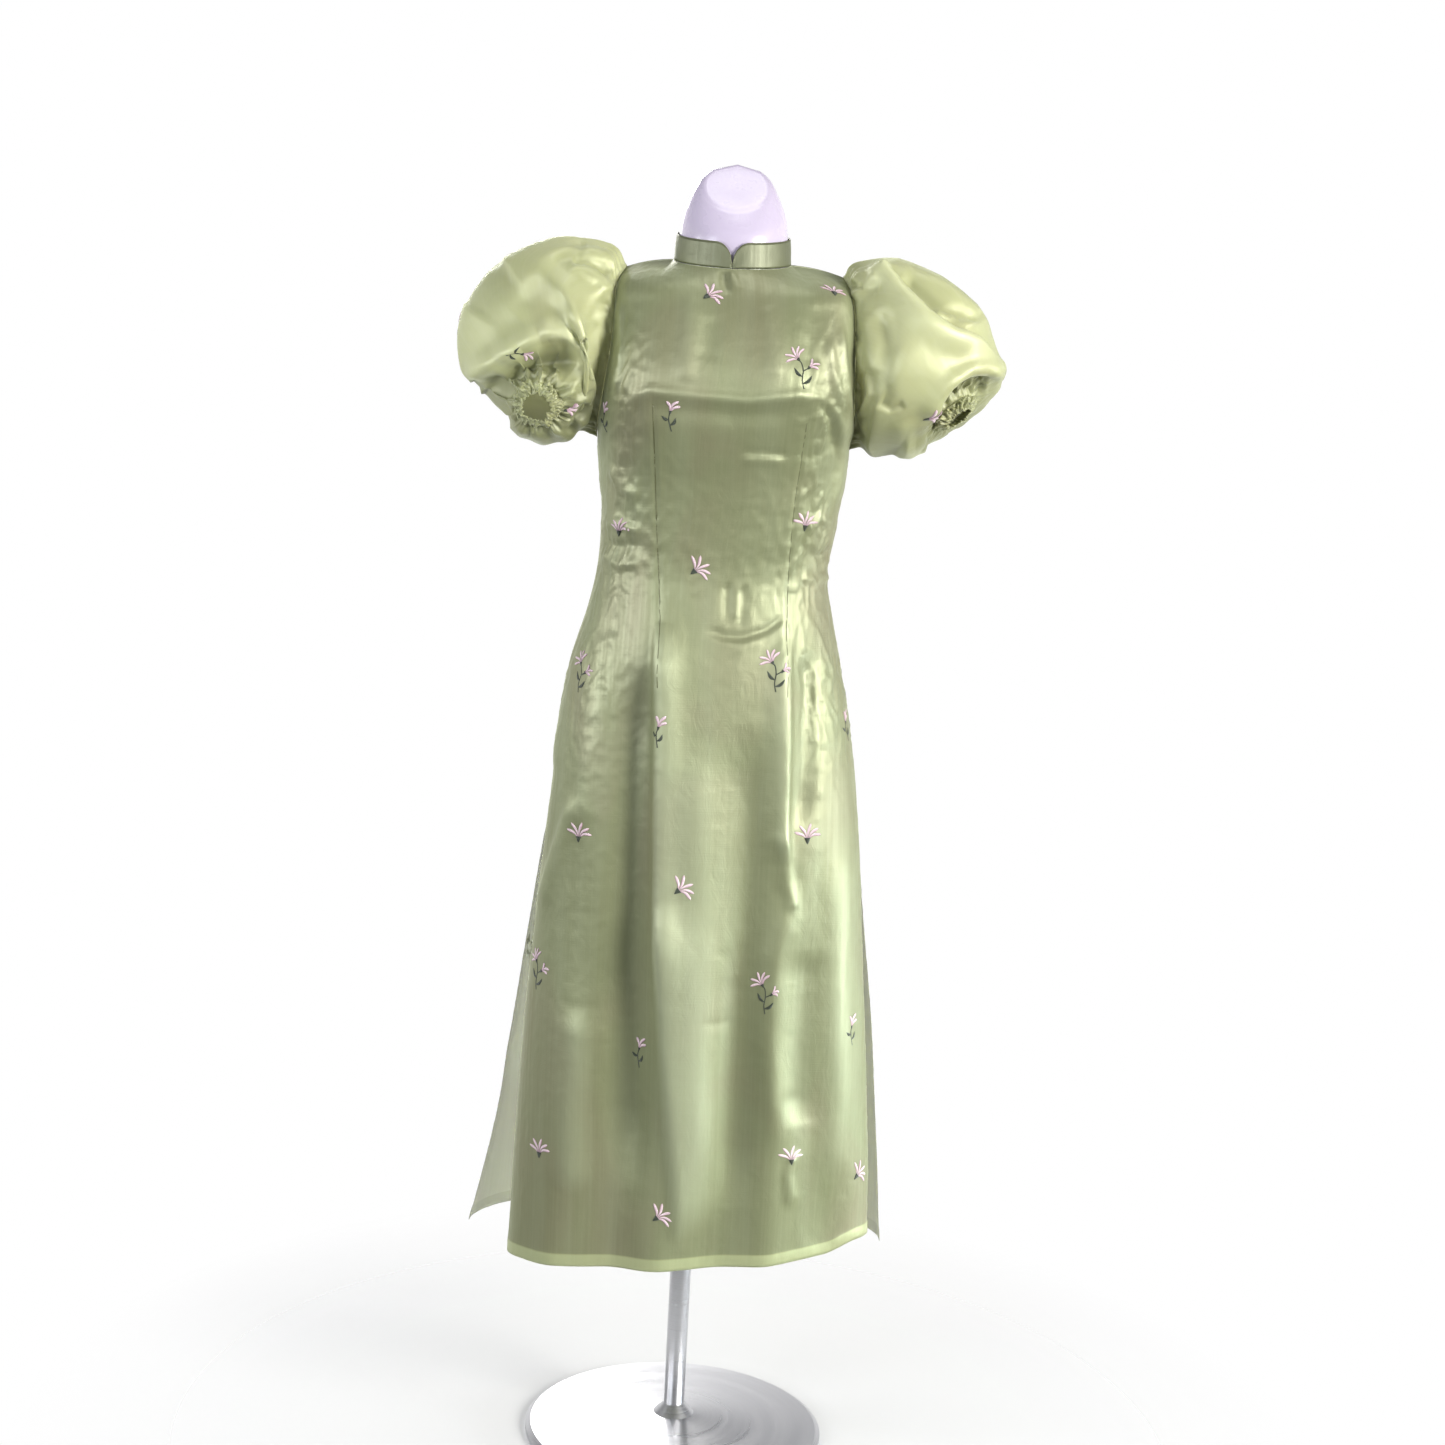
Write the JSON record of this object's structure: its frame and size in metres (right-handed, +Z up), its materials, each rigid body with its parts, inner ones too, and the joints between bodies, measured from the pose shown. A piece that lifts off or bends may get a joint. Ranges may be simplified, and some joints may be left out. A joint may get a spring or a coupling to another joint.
{
  "type": "ao dai tunic on a dress form",
  "caption": "Long close-fitting silk tunic with a stand collar, short puff sleeves and side slits, scattered with embroidered flowers, worn by a limbless dress form on a round base.",
  "frame": {"origin": "centre of the base's underside, on the floor", "axes": "+Z up, -Y to the front of the garment, +X to the wearer's left"},
  "size_m": [0.6245, 0.36, 1.5204],
  "materials": {
    "silk": "olive shot silk with a soft sheen, embroidered with pale half daisies",
    "organza": "crisp light olive silk organza, embroidered with the same flowers",
    "zip_enamel": "enamel in the colour of the silk",
    "form_plastic": "glossy pale lilac white",
    "stand_steel": "satin"
  },
  "bodies": {
    "root": {"front": "silk", "back_left": "silk", "back_right": "silk", "collar_left": "silk", "collar_right": "silk", "cuff_left": "silk", "cuff_right": "silk", "sleeve_left": "organza", "sleeve_right": "organza", "zip_slider": "zip_enamel", "form_torso": "form_plastic", "form_stand": "stand_steel"},
    "pull_tab": {"zip_pull_tab": "zip_enamel"}
  },
  "joints": [
    {"name": "pull_tab_hinge", "type": "hinge", "parent": "root", "child": "pull_tab", "pos_m": [0, 0.06126, 1.4394], "axis": [1, 0, 0], "range_deg": [0, 150]}
  ]
}
